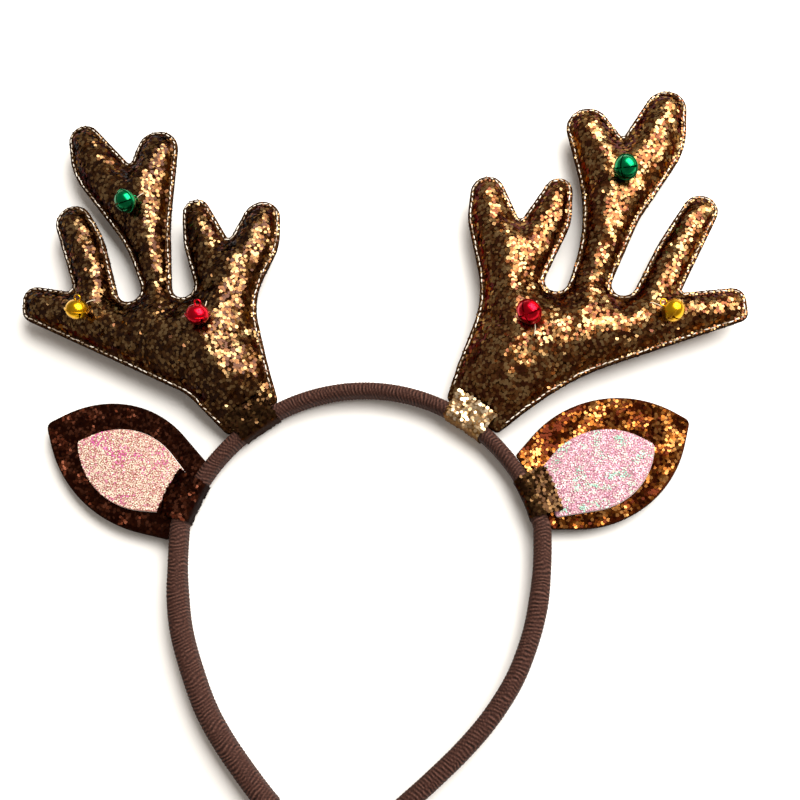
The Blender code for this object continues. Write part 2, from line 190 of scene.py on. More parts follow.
SEATS = {
    # name: first angle, last angle, corner radius, clearance to the hoop
    "antler_right": (27.5, 42.5, 2.5, GAP),
    "antler_left": (28.3, 42.8, 2.5, GAP),
    "ear_right": (53.2, 75.8, 1.0, GAP),
    "ear_left": (55.5, 79.6, 1.0, GAP),
    "ear_leaf_right": (61.0, 73.2, 0.8, LEAF_CLEAR),
    "ear_leaf_left": (61.4, 72.6, 0.8, LEAF_CLEAR),
}

# Strips round the hoop, by their angle from the crown
STRIP_THICK = 0.4
STRIP_GAP = 0.15
STRIP_STEPS = 16
STRIP_CREASE = 0.3
STRIPS = (
    # name, side, start angle, end angle, reach, front lift, back lift, flake finish, slot
    ("antler_tab_right", 1, 28.2, 41.3, 7.7, 4.3, -4.3, "gold_flakes", "gold_glitter"),
    ("antler_tab_left", -1, 28.6, 41.8, 7.7, 4.3, -4.3, "brown_flakes", "brown_glitter"),
    ("ear_tab_right", 1, 59.6, 72.4, 8.9, 1.5, -1.5, "brown_flakes", "brown_glitter"),
    ("ear_tab_left", -1, 60.6, 74.0, 9.4, 1.5, -1.5, "dark_flakes", "brown_glitter"),
)

# Folds pulled into the padding: two ends, half width and depth
CREASES = {
    "antler_right": (
        ("main_fork", 94.8, 99.0, 92.5, 72.0, 4.4, 2.0),
        ("brow_fork", 57.5, 67.5, 59.0, 46.0, 3.8, 1.5),
        ("tine_fork", 114.0, 38.5, 106.0, 33.0, 2.0, 2.0),
        ("neck", 80.0, 47.0, 90.0, 44.0, 1.6, 1.6),
        ("gap_inner", 70.6, 38.5, 72.0, 30.0, 1.8, 1.6),
        ("gap_outer", 94.0, 36.5, 93.0, 27.0, 1.8, 1.6),
        ("stem", 45.0, 30.0, 56.0, 21.0, 1.6, 1.3),
    ),
    "antler_left": (
        ("main_fork", 97.0, 96.5, 93.0, 72.0, 4.2, 2.0),
        ("brow_fork", 54.0, 63.5, 56.5, 46.0, 3.8, 1.6),
        ("tine_fork", 114.0, 44.0, 106.0, 38.5, 2.0, 2.0),
        ("neck", 76.5, 48.0, 87.0, 46.0, 1.6, 1.8),
        ("gap_inner", 70.4, 39.5, 72.0, 31.0, 1.8, 1.6),
        ("gap_outer", 91.5, 38.5, 90.0, 30.0, 1.8, 1.6),
        ("stem", 44.0, 25.0, 55.0, 17.0, 1.6, 1.3),
    ),
}
CREASE_END = 0.25
FULL_PAD = 5
DIMPLE_WIDE = 6.5
DIMPLE_DEEP = 1.1
RUMPLE = 0.22
RUMPLE_SIZE = 5.5

# Seam stitches
STITCH_PITCH = 2.2
STITCH_LONG = 0.85
STITCH_RADIUS = 0.25
STITCH_INSET = 1.05
STITCH_WANDER = 0.16
STITCH_LEAN = 0.2
STITCH_SPREAD = (0.65, 1.5)
STITCH_START = 8.5

# Flakes: the point below each, how much more the loose ones lean, and depths from the outline with none
FLAKE_APEX = 0.3
FLAKE_SIZES = (0.8, 1.12)
FLAKE_LIFT = (0.08, 0.2)
LOOSE_SPREAD = 4.0
TRIES = 2.2
ANTLER_BARE = ((0, 0.4), (1.8, 2.1))

# Bells
BELL_RADIUS = 4.35
BELL_SQUASH = 0.88
BELL_WALL = 0.35
RIM_OUT = 0.4
RIM_HALF = 0.2
SLOT_WIDE = 0.5
SLOT_DEEP = 3.5
SLOT_HOLE = 0.5
LOOP_RADIUS = 1.2
LOOP_WIRE = 0.3
BALL_RADIUS = 1.2
BALL_SPOT = (0.6, 0.4, BELL_WALL + BALL_RADIUS + 0.15 - BELL_RADIUS)
THREAD = 0.17
THREAD_SWAY = 0.3
THREAD_ARCH = 0.45
THREAD_LIFT = 0.15
BELLS = (
    # name, antler, x, y, turn of the loop from +Y, dip of the loop below level, finish
    ("bell_right_green", "antler_right", 95.3, 83.0, -48, 48, "green_metal"),
    ("bell_right_red", "antler_right", 61.0, 27.5, -30, 45, "red_metal"),
    ("bell_right_yellow", "antler_right", 110.4, 28.2, 55, -20, "yellow_metal"),
    ("bell_left_green", "antler_left", -92.6, 77.0, -40, 38, "green_metal"),
    ("bell_left_yellow", "antler_left", -106.7, 33.1, -14, -36, "yellow_metal"),
    ("bell_left_red", "antler_left", -59.0, 29.2, -10, -40, "red_metal"),
)
THREADS = (
    # bell, and the two ends of a strand from the bell's middle
    ("bell_right_green", -0.7, 6.6, 0.2, 3.4),
    ("bell_right_red", 2.4, 6.4, 1.2, 3.6),
    ("bell_right_red", 1.8, -2.6, 1.7, -7.6),
    ("bell_right_yellow", -7.6, 4.4, -3.8, 2.6),
    ("bell_left_green", 5.6, 4.8, 3.0, 2.6),
    ("bell_left_yellow", 4.6, 5.4, 1.6, 4.2),
    ("bell_left_red", 1.2, 7.0, 0.8, 4.0),
)

# The photo's camera, found from the hoop and the antlers' outlines
CAMERA_YAW = -0.15797
CAMERA_PITCH = -0.28825
CAMERA_ROLL = -0.03554
CAMERA_SHIFT = Vector((-14.34807, -0.02037, -431.71703))
CAMERA_AIM = Vector((1.3, -11.7, -9.3))
CAMERA_LENS = 54

# Daylight from a window, and a dim warm room
WINDOW_SPOT = Vector((0.57, 0.51, 0.93))
WINDOW_AIM = Vector((0, 0.02, 0))
WINDOW_SIZE = (1.4, 1.05)
WINDOW_POWER = 43
WINDOW_COLOUR = (1.0, 0.96, 0.90)
ROOM_COLOUR = (1.0, 0.88, 0.77, 1)
ROOM_STRENGTH = 0.35
FLOOR_SIZE = 3.0


def from_crown(angle):
    """Unit direction at an angle in degrees from +Y, clockwise."""
    return Vector((math.sin(math.radians(angle)), math.cos(math.radians(angle))))


def smooth_step(value):
    """From 0 to 1 with a gentle start and end."""
    value = min(max(value, 0.0), 1.0)
    return value * value * (3 - 2 * value)


def add_object(name, data):
    """A new object in the scene."""
    obj = bpy.data.objects.new(name, data)
    bpy.context.scene.collection.objects.link(obj)
    return obj


def plain_mesh(name, bm):
    """A mesh from the bmesh as it is."""
    mesh = bpy.data.meshes.new(name)
    bm.to_mesh(mesh)
    return mesh


def bake_shape(obj, bm):
    """Puts the object's shape, as its modifiers make it, into the bmesh."""
    graph = bpy.context.evaluated_depsgraph_get()
    bm.from_mesh(obj.evaluated_get(graph).to_mesh())


def show(name, mesh, materials, replaced=()):
    """Shows a mesh that is already in the frame, on the root body."""
    for material in materials:
        mesh.materials.append(material)
    obj = add_object(name, mesh)
    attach(obj, "root")
    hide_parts(*replaced)
    return obj


def place_mesh(name, bm, sharp=180):
    """Turns a mesh in millimetres into a mesh in the frame."""
    bm.transform(PLACE)
    mesh = plain_mesh(name, bm)
    bm.free()
    mesh.shade_smooth()
    mesh.set_sharp_from_angle(angle=math.radians(sharp))
    return mesh


# Outlines


def belt(rows):
    """Follows a tight belt clockwise round the circles: its points, each with its outward normal."""
    circles = [(Vector((x, y)), radius) for _, x, y, radius in rows]
    headings = []
    for (start, start_radius), (end, end_radius) in zip(circles, circles[1:] + circles[:1]):
        run = end - start
        lean = math.asin((start_radius - end_radius) / run.length)
        headings.append(math.atan2(run.y, run.x) - lean)
    points = []
    for k, (centre, radius) in enumerate(circles):
        turn = (headings[k] - headings[k - 1]) % math.tau
        if radius > 0:
            turn -= math.tau
        steps = math.ceil(max(abs(turn * radius) / ARC_STEP, abs(turn) / ARC_TURN))
        for step in range(steps + 1):
            heading = headings[k - 1] + turn * step / steps
            normal = Vector((-math.sin(heading), math.cos(heading)))
            point = centre + radius * normal
            if not points or (point - points[-1][0]).length > 0.1:
                points.append((point, normal))
    return points


def seated(name, rows, side):
    """Closes an outline with two corners and a bite along the outer face of the hoop."""
    first, last, corner, clearance = SEATS[name]
    seat = HOOP_RADIUS + HOOP_THICK / 2 + clearance
    centre = Vector((HOOP_CENTRE.x * side, HOOP_CENTRE.y))
    spots = [centre + (seat + corner + HAIR) * from_crown(angle) for angle in (first, last)]
    corners = [(f"corner_{k}", *spot, corner) for k, spot in enumerate(spots)]
    return (corners[0], *rows, corners[1], ("hoop_seat", *centre, -seat))


def edge_distances(points, edge):
    """Shortest distance from each point to a closed outline."""
    points = np.array([tuple(point) for point in points])
    found = np.full(len(points), np.inf)
    for start, end in zip(np.roll(edge, 1, axis=0), np.array(edge)):
        run = end - start
        share = np.clip((points - start) @ run / max(run @ run, 1e-9), 0, 1)
        found = np.minimum(found, np.hypot(*(points - start - share[:, None] * run).T))
    return found


def cut_sheet(edge, insets, net):
    """A flat sheet with rings inside its outline and a net over the rest."""
    bm = bmesh.new()
    rings = [[bm.verts.new((*(point - inset * normal), 0)) for point, normal in edge] for inset in insets]
    for outer, inner in zip(rings, rings[1:]):
        for k in range(len(edge)):
            bm.faces.new((outer[k - 1], outer[k], inner[k], inner[k - 1]))
    bm.faces.new(rings[-1])
    for axis in (Vector((1, 0, 0)), Vector((0, 1, 0))):
        heights = [vert.co.dot(axis) for vert in rings[0]]
        for line in range(math.ceil(min(heights) / net), math.ceil(max(heights) / net)):
            geometry = bm.verts[:] + bm.edges[:] + bm.faces[:]
            bmesh.ops.bisect_plane(bm, geom=geometry, dist=SNAP, plane_co=axis * line * net, plane_no=axis)
    bmesh.ops.remove_doubles(bm, verts=bm.verts, dist=SNAP / 2)
    return bm


# Antlers


def lift_at(point, side):
    """0 where the antler is glued to the hoop, 1 where it is free to fill out."""
    centre = Vector((HOOP_CENTRE.x * side, HOOP_CENTRE.y))
    return smooth_step(((point.xy - centre).length - HOOP_RADIUS - HOOP_THICK / 2) / TAIL_RISE)


def cover(name, rows, side):
    """The sewn cover before it fills out, in millimetres, and the numbers of its free points."""
    edge = belt(seated(name, rows, side))
    bm = cut_sheet(edge, (0, SEAM / 2, SEAM, SEAM_RING), NET)
    made = bmesh.ops.extrude_face_region(bm, geom=bm.faces[:], use_keep_orig=True)["geom"]
    front = {item for item in made if isinstance(item, bmesh.types.BMVert)}
    outline = [tuple(point) for point, _ in edge]
    depths = edge_distances([vert.co.xy for vert in bm.verts], outline)
    filled = []
    for vert, depth in zip(bm.verts, depths):
        lift = lift_at(vert.co, side)
        inside = depth - SEAM
        half = CLOTH
        if inside > 0.2:
            half += PAD_HALF_THICK * (min(inside, PAD_REACH) / PAD_REACH) ** PAD_FULLNESS * lift
            filled.append(vert)
        middle = BAND_Z + (ANTLER_Z - BAND_Z) * lift
        vert.co.z = middle + half if vert in front else middle - half
    for _ in range(SMOOTH_PASSES):
        bmesh.ops.smooth_vert(bm, verts=filled, factor=0.5, use_axis_z=True)
    bmesh.ops.recalc_face_normals(bm, faces=bm.faces)
    for face in bm.faces:
        face.material_index = int(abs(face.normal.z) < 0.1 and all(depths[v.index] < 0.1 for v in face.verts))
    return bm, {vert.index for vert in filled}


def fill_out(name, bm, free):
    """Air pressure rounds the cover between its seams. Each point moves by SIM_CAP at most."""
    mesh = plain_mesh(name, bm)
    start = np.array([vert.co for vert in mesh.vertices])
    mesh.transform(Matrix.Scale(SIM_SCALE, 4))
    obj = add_object(name, mesh)
    sewn = obj.vertex_groups.new(name="sewn")
    sewn.add([k for k in range(len(start)) if k not in free], 1.0, "REPLACE")
    cloth = obj.modifiers.new("air", "CLOTH")
    cloth.settings.vertex_group_mass = "sewn"
    cloth.settings.use_pressure = True
    cloth.settings.uniform_pressure_force = SIM_PRESSURE
    cloth.settings.effector_weights.gravity = 0
    cloth.settings.quality = SIM_QUALITY
    cloth.settings.bending_stiffness = SIM_STIFFNESS
    cloth.point_cache.frame_end = SIM_FRAMES
    cloth.collision_settings.use_collision = False
    for step in range(1, SIM_FRAMES + 1):
        bpy.context.scene.frame_set(step)
    graph = bpy.context.evaluated_depsgraph_get()
    blown = obj.evaluated_get(graph).to_mesh()
    moved = np.array([vert.co for vert in blown.vertices]) / SIM_SCALE - start
    bpy.context.scene.frame_set(1)
    bpy.data.objects.remove(obj, do_unlink=True)
    bpy.data.meshes.remove(mesh)
    reach = np.linalg.norm(moved, axis=1, keepdims=True)
    moved *= np.minimum(1, SIM_CAP / np.maximum(reach, 1e-6))
    for vert, place in zip(bm.verts, start + moved):
        vert.co = place


def refine(name, bm):
    """Subdivides the cover once, for a smooth round shape."""
    mesh = plain_mesh(name, bm)
    obj = add_object(name, mesh)
    smooth = obj.modifiers.new("smooth", "SUBSURF")
    smooth.levels = smooth.render_levels = 1
    smooth.boundary_smooth = "PRESERVE_CORNERS"
    bm.clear()
    bake_shape(obj, bm)
    bpy.data.objects.remove(obj, do_unlink=True)
    bpy.data.meshes.remove(mesh)


def crease_depth(point, creases):
    """How far the folds press a point in."""
    deepest = 0.0
    for _, x1, y1, x2, y2, half_width, depth in creases:
        start, end = Vector((x1, y1)), Vector((x2, y2))
        run = end - start
        share = (point.xy - start).dot(run) / run.length_squared
        off = (point.xy - start - run * min(max(share, 0), 1)).length / half_width
        fade = 1 - smooth_step(share)
        if off < 3:
            deepest = max(deepest, depth * math.exp(-off * off) * (CREASE_END + (1 - CREASE_END) * fade))
    return deepest


def rumple(name, bm, side):
    """Presses folds and bell dimples in, and leaves the cloth slightly uneven."""
    bells = [Vector((row[2] * side, row[3])) for row in BELLS if row[1] == name]
    bm.normal_update()
    moves = []
    for vert in bm.verts:
        lift = lift_at(vert.co, side)
        bump = noise.noise(vert.co / RUMPLE_SIZE) + 0.5 * noise.noise(vert.co / RUMPLE_SIZE * 2.3)
        padded = smooth_step(abs(vert.co.z - ANTLER_Z) / FULL_PAD) * lift
        press = crease_depth(vert.co, CREASES[name]) * padded
        if vert.co.z > ANTLER_Z:
            for spot in bells:
                press += DIMPLE_DEEP * (1 - smooth_step((vert.co.xy - spot).length / DIMPLE_WIDE))
        moves.append(vert.normal * (bump * RUMPLE * padded - press))
    for vert, move in zip(bm.verts, moves):
        vert.co += move
        vert.co.x *= side
        vert.co.z = max(vert.co.z, CLEAR_FLOOR)
    bmesh.ops.recalc_face_normals(bm, faces=bm.faces)


def antler(name, rows, side, finishes):
    """Cover, flakes and stitches of one antler. Returns its surface, for the bells."""
    bm, free = cover(name, rows, side)
    fill_out(name, bm, free)
    refine(name, bm)
    rumple(name, bm, side)
    surface = BVHTree.FromBMesh(bm)
    outline = [(point.x * side, point.y) for point, _ in belt(seated(name, rows, side))]
    places = sprinkle(bm, ANTLER_FLAKES, 0, outline=outline, bare=ANTLER_BARE)
    # The left antler is the same bronze cloth, with its flakes darkened as painted shade
    finish = "bronze_flakes" if side == 1 else "bronze_flakes_painted_shade"
    scatter(f"{name}_flakes", places, hexagon(), [finishes[finish]])
    seam_stitches(name, rows, side, finishes["seam_thread"])
    grounds = [finishes["bronze_ground"], finishes["cut_edge"]]
    body = show(f"{name}_cover", place_mesh(name, bm, 50), grounds, [name])
    return surface


def seam_stitches(name, rows, side, material):
    """A stitch every STITCH_PITCH along the edge, on the front and on the back."""
    ring = [point - STITCH_INSET * normal for point, normal in belt(seated(name, rows, side))]
    ring.append(ring[0])
    rng = np.random.default_rng(11)
    centre = Vector((HOOP_CENTRE.x * side, HOOP_CENTRE.y))
    spots, axes = [], []
    left_over = 0.0
    for start, end in zip(ring, ring[1:]):
        run = end - start
        along = run.normalized()
        while left_over < run.length:
            spot = start + along * left_over
            left_over += STITCH_PITCH
            if (spot - centre).length < HOOP_RADIUS + STITCH_START:
                continue
            lift = lift_at(spot, side)
            middle = BAND_Z + (ANTLER_Z - BAND_Z) * lift
            for face in (1, -1):
                off = rng.uniform(-STITCH_WANDER, STITCH_WANDER)
                lean = rng.uniform(-STITCH_LEAN, STITCH_LEAN)
                length = rng.uniform(*STITCH_SPREAD)
                across = Vector((-along.y, along.x))
                way = (along + across * lean).normalized()
                place = spot + across * off
                spots.append((place.x * side, place.y, middle + face * (CLOTH + 0.1)))
                long_axis = (way.x * side * length, way.y * length, 0)
                wide_axis = (-way.y * face, way.x * face * side, 0)
                axes.append((long_axis, wide_axis, (0, 0, face * side)))
        left_over -= run.length
    places = (np.array(spots), np.array(axes), rng.random(len(spots)))
    scatter(f"{name}_stitches", places, stitch(), [material], smooth=True)


# Small things repeated

# Spacing and radius in millimetres, spread of the tilts, share of loose flakes, and tilt and size of patches.
# Some add a size factor on the seam allowance (flange), a bare margin, a curl of the sheet, or the least
# share of up in the normal where flakes hold (steepest).
ANTLER_FLAKES = dict(
    spacing=0.85, radius=0.76, tilt=0.065, loose=0.1, patch=0.12, patch_size=3.6, seed=3, flange=0.55
)
EAR_FLAKES = dict(
    spacing=0.78, radius=0.68, tilt=0.05, loose=0.1, patch=0.17, patch_size=5.0, seed=15,
    margin=0.75, curl=0.16,
)
LEAF_FLAKES = dict(
    spacing=0.52, radius=0.35, tilt=0.10, loose=0.1, patch=0.05, patch_size=4.0, seed=7, margin=0.35
)
STRIP_FLAKES = dict(
    spacing=0.8, radius=0.70, tilt=0.12, loose=0.2, patch=0.14, patch_size=3.0, seed=9, steepest=0.5
)


def sprinkle(bm, flakes, material_index=None, upward=False, outline=(), bare=()):
    """Spots over a mesh, none nearer than the spacing, with tilted axes and a tone from 0 to 1.

    Bare holds depths from the outline between which there are none.
    """
    rng = np.random.default_rng(flakes["seed"])
    bm.normal_update()
    triangles = [
        loops
        for loops in bm.calc_loop_triangles()
        if (material_index is None or loops[0].face.material_index == material_index)
        and (not upward or loops[0].face.normal.z > 0.5)
        and abs(loops[0].face.normal.z) >= flakes.get("steepest", 0)
    ]
    corners = np.array([[loop.vert.co for loop in loops] for loops in triangles])
    normals = np.array([[loop.vert.normal for loop in loops] for loops in triangles])
    if upward:
        normals[:] = (0, 0, 1)
    area = np.linalg.norm(np.cross(corners[:, 1] - corners[:, 0], corners[:, 2] - corners[:, 0]), axis=1)
    spacing = flakes["spacing"]
    tries = int(TRIES * area.sum() / spacing**2)
    picked = rng.choice(len(area), tries, p=area / area.sum())
    first, second = rng.random((2, tries))
    over = first + second > 1
    first[over], second[over] = 1 - first[over], 1 - second[over]
    share = np.stack((1 - first - second, first, second), axis=1)
    spots = (corners[picked] * share[:, :, None]).sum(axis=1)
    depths = edge_distances(spots[:, :2], outline) if outline else np.full(tries, PAD_REACH)
    free = [all(not low <= depth < high for low, high in bare) for depth in depths]
    kept, cells = [], {}
    near = [(i, j, k) for i in (-1, 0, 1) for j in (-1, 0, 1) for k in (-1, 0, 1)]
    for number, (spot, cell) in enumerate(zip(spots.tolist(), (spots // spacing).astype(int).tolist())):
        if free[number] and all(
            math.dist(spot, other) >= spacing
            for step in near
            for other in cells.get((cell[0] + step[0], cell[1] + step[1], cell[2] + step[2]), ())
        ):
            cells.setdefault(tuple(cell), []).append(spot)
            kept.append(number)
    spots, share, picked = spots[kept], share[kept], picked[kept]
    count = len(kept)
    up = (normals[picked] * share[:, :, None]).sum(axis=1)
    drift = np.array([noise.noise_vector(Vector(spot) / flakes["patch_size"]) for spot in spots])
    spread = np.where(rng.random((count, 1)) < flakes["loose"], LOOSE_SPREAD, 1.0)
    up += drift * flakes["patch"] * 2 + rng.normal(0, flakes["tilt"], (count, 3)) * spread
    middle, reach = spots[:, 0].mean(), np.ptp(spots[:, 0]) / 2
    up[:, 0] -= flakes.get("curl", 0) * (spots[:, 0] - middle) / reach
    up /= np.linalg.norm(up, axis=1, keepdims=True)
    side = np.cross(up, rng.normal(0, 1, (count, 3)))
    side /= np.linalg.norm(side, axis=1, keepdims=True)
    axes = np.stack((side, np.cross(up, side), up), axis=1)
    size = flakes["radius"] * rng.uniform(*FLAKE_SIZES, (count, 1, 1))
    size[depths[kept] < SEAM] *= flakes.get("flange", 1)
    axes[:, :2] *= size
    spots = spots + up * rng.uniform(*FLAKE_LIFT, (count, 1))
    return spots, axes, rng.random(count)


def hexagon():
    """A flake: six corners on top, and a point below that sits in the glue."""
    corners = [(math.cos(math.radians(60 * k)), math.sin(math.radians(60 * k)), 0) for k in range(6)]
    corners.append((0, 0, -FLAKE_APEX))
    return np.array(corners), [(0, 1, 2, 3, 4, 5)] + [((k + 1) % 6, k, 6) for k in range(6)]


def stitch():
    """A short thread, thickest in its middle."""
    bm = bmesh.new()
    bmesh.ops.create_uvsphere(bm, u_segments=6, v_segments=5, radius=1)
    bmesh.ops.rotate(bm, verts=bm.verts, cent=(0, 0, 0), matrix=Matrix.Rotation(math.radians(90), 3, "Y"))
    bmesh.ops.scale(bm, verts=bm.verts, vec=(STITCH_LONG, STITCH_RADIUS, STITCH_RADIUS))
    bm.verts.index_update()
    corners = np.array([vert.co for vert in bm.verts])
    faces = [tuple(vert.index for vert in face.verts) for face in bm.faces]
    bm.free()
    return corners, faces


def scatter(name, places, shape, materials, smooth=False):
    """Joins one copy of a small shape at every place into a single mesh.

    Each copy has its own tone, and a level that is 1 where it lies flat.
    """
    spots, axes, tones = places
    corners, faces = shape
    points = spots[:, None, :] + np.einsum("cj,pjk->pck", corners, axes)
    points = points.reshape(-1, 3) - (*OUTLINE_CENTRE, 0)
    points[:, 2] = np.maximum(points[:, 2], 0)
    sides = []
    for first in range(0, len(points), len(corners)):
        sides += [[first + corner for corner in face] for face in faces]
    mesh = bpy.data.meshes.new(name)
    mesh.from_pydata((points * MM).tolist(), [], sides)
    tone = mesh.attributes.new("tone", "FLOAT", "POINT")
    tone.data.foreach_set("value", np.repeat(tones, len(corners)).astype(np.float32))
    level = mesh.attributes.new("level", "FLOAT", "POINT")
    level.data.foreach_set("value", np.repeat(np.abs(axes[:, 2, 2]), len(corners)).astype(np.float32))
    if smooth:
        mesh.shade_smooth()
    return show(name, mesh, materials)


# Flat sheets


def ear_sheet(name, rows, side, bottom, thick, flakes, colour, edge_finish, finishes):
    """A die-cut sheet, bare on its edge and back, with flakes on its front."""
    bm = bmesh.new()
    edge = belt(seated(name, rows, side))
    face = bm.faces.new([bm.verts.new((*point, bottom)) for point, _ in edge])
    made = bmesh.ops.extrude_face_region(bm, geom=[face], use_keep_orig=True)["geom"]
    top = [item for item in made if isinstance(item, bmesh.types.BMVert)]
    bmesh.ops.translate(bm, verts=top, vec=(0, 0, thick))
    bmesh.ops.scale(bm, verts=bm.verts, vec=(side, 1, 1))
    bmesh.ops.recalc_face_normals(bm, faces=bm.faces)
    front = [face for face in bm.faces if face.normal.z > 0.5]
    flat_area = sum(face.calc_area() for face in front) * MM**2
    rim = front[0].edges[:]
    bmesh.ops.bevel(bm, geom=rim, offset=SHEET_ROUND, segments=2, profile=0.5, affect="EDGES", material=-1)
    for face in bm.faces:
        face.material_index = 0 if face.normal.z > 0.9 else 1
    outline = [(point.x * side, point.y) for point, _ in edge]
    places = sprinkle(bm, flakes, 0, upward=True, outline=outline, bare=((0, flakes["margin"]),))
    loose = scatter(f"{name}_flakes", places, hexagon(), [finishes[f"{colour}_flakes"]])
    grounds = [finishes[f"{colour}_ground"], finishes[edge_finish]]
    body = show(f"{name}_sheet", place_mesh(name, bm, 35), grounds, [name])


# Hoop


def hoop_line():
    """Centre line of the hoop, from the left tip over the crown to the right tip, as a smooth run."""
    arc = []
    for angle in range(-ARC_HALF_ANGLE, ARC_HALF_ANGLE + 1, 2):
        arc.append(HOOP_CENTRE + HOOP_RADIUS * from_crown(angle))
    left = [Vector((left_x, y)) for y, left_x, _ in LEG_TABLE]
    right = [Vector((right_x, y)) for y, _, right_x in LEG_TABLE]
    knots = left[::-1] + arc + right
    line = []
    for k in range(len(knots) - 1):
        before = knots[max(k - 1, 0)]
        start, end = knots[k], knots[k + 1]
        after = knots[min(k + 2, len(knots) - 1)]
        for step in range(12):
            t = step / 12
            line.append(
                0.5
                * (
                    2 * start
                    + (end - before) * t
                    + (2 * before - 5 * start + 4 * end - after) * t**2
                    + (3 * start - before - 3 * end + after) * t**3
                )
            )
    line.append(knots[-1])
    return line


def even_run(line, pitch):
    """The same line with its points a pitch apart."""
    points = np.array([tuple(point) for point in line])
    lengths = np.concatenate(([0], np.cumsum(np.hypot(*np.diff(points, axis=0).T))))
    steps = np.linspace(0, lengths[-1], round(lengths[-1] / pitch) + 1)
    return np.stack([np.interp(steps, lengths, points[:, axis]) for axis in (0, 1)], axis=1), steps


def bar_section(points_a_corner=6):
    """Rounded rectangle across the hoop, each point with its outward direction."""
    section = []
    for quarter in range(4):
        flip_x = -1 if quarter in (1, 2) else 1
        flip_y = -1 if quarter in (2, 3) else 1
        for step in range(points_a_corner):
            angle = math.radians(90 * quarter + 90 * step / (points_a_corner - 1))
            out = Vector((math.cos(angle), math.sin(angle)))
            flat = Vector((flip_x * (HOOP_THICK / 2 - HOOP_CORNER), flip_y * (HOOP_DEEP / 2 - HOOP_CORNER)))
            section.append((flat + HOOP_CORNER * out, out))
    return section


def ribbon_hoop(material):
    """The hoop in its ribbed ribbon: a ring of points every sixth of a rib, pushed out at the ribs."""
    centres, steps = even_run(hoop_line(), RIB_PITCH / RIB_STEPS)
    along = np.gradient(centres, axis=0)
    along /= np.linalg.norm(along, axis=1, keepdims=True)
    leg_top, leg_end = LEG_TABLE[0][0], LEG_TABLE[-1][0]
    section = bar_section()
    bm = bmesh.new()
    rings, rib_painted_shades = [], []
    for centre, direction, step in zip(centres, along, steps):
        size = 1 + (LEG_SWELL - 1) * smooth_step((leg_top - centre[1]) / SWELL_LENGTH)
        from_end = min(step, steps[-1] - step)
        if from_end < TIP_ROUND:
            size *= math.sqrt(max(1 - (1 - from_end / TIP_ROUND) ** 2, 0.02))
        down = smooth_step((leg_top - centre[1]) / (leg_top - leg_end))
        widen_high, widen_low = LEG_WIDEN[1 if centre[0] > 0 else -1]
        widen = widen_high + (widen_low - widen_high) * smooth_step((leg_top - centre[1]) / SWELL_LENGTH / 2)
        widen *= smooth_step((WIDEN_FROM - centre[1]) / SWELL_LENGTH)
        height = BAND_Z + (HOOP_DEEP / 2 * LEG_SWELL + RIB_HEIGHT - BAND_Z) * down
        across = Vector((direction[1], -direction[0]))
        ring = []
        for flat, out in section:
            spot = Vector((*(centre / RIB_WAVER_SIZE), (flat.x + flat.y) / 2.5))
            waver = RIB_WAVER * noise.noise(spot)
            phase = (step - RIB_SLANT * (flat.x - flat.y) + waver) / RIB_PITCH
            spot = Vector((*(centre / RIB_PULL_SIZE), flat.x / 1.5))
            pull = RIB_PULL + RIB_PULL_SPREAD * noise.noise(spot)
            swell = RIB_HEIGHT * pull * math.cos(math.tau * phase) / 2
            # 0 in a groove and 1 on a crest: it colours the grooves darker, as painted shade
            rib_painted_shades.append(0.5 + swell / RIB_HEIGHT)
            swell *= 1 - (1 - RIB_SIDE) * abs(out.x) ** 3
            spot = (flat + out * swell) * size
            spot.x *= 1 + widen
            place = Vector(centre) + across * spot.x
            ring.append(bm.verts.new((*place, height + spot.y)))
        rings.append(ring)
    for before, after in zip(rings, rings[1:]):
        for k in range(len(section)):
            bm.faces.new((before[k - 1], before[k], after[k], after[k - 1]))
    bm.faces.new(rings[0])
    bm.faces.new(rings[-1][::-1])
    bmesh.ops.recalc_face_normals(bm, faces=bm.faces)
    mesh = place_mesh("headband_ribbon", bm, 60)
    # Kept for the painted shade between the ribs
    mesh.attributes.new("rib_painted_shade", "FLOAT", "POINT").data.foreach_set("value", np.array(rib_painted_shades, dtype=np.float32))
    show("headband_ribbon", mesh, [material], ["headband"])


# Strips


def strip_path(reach, front, back):
    """The strip's outer line across the hoop, as distance from the hoop's centre and height."""
    inner = HOOP_RADIUS - HOOP_THICK / 2 - STRIP_GAP - STRIP_THICK
    outer = HOOP_RADIUS + HOOP_THICK / 2
    top = HOOP_DEEP / 2 + STRIP_GAP + STRIP_THICK
    corner = HOOP_CORNER
    points = [
        (HOOP_RADIUS + reach, BAND_Z + front + GAP + STRIP_THICK),
        (outer + 1, BAND_Z + top - 0.1),
        (inner + corner, BAND_Z + top),
        (inner + corner * 0.3, BAND_Z + top - corner * 0.3),
        (inner, BAND_Z + top - corner),
        (inner, BAND_Z - top + corner),
        (inner + corner * 0.3, BAND_Z - top + corner * 0.3),
        (inner + corner, BAND_Z - top),
        (outer + 1, BAND_Z - top + 0.1),
        (HOOP_RADIUS + reach, BAND_Z + back - GAP - STRIP_THICK),
    ]
    return even_run([Vector(point) for point in points], 1.0)


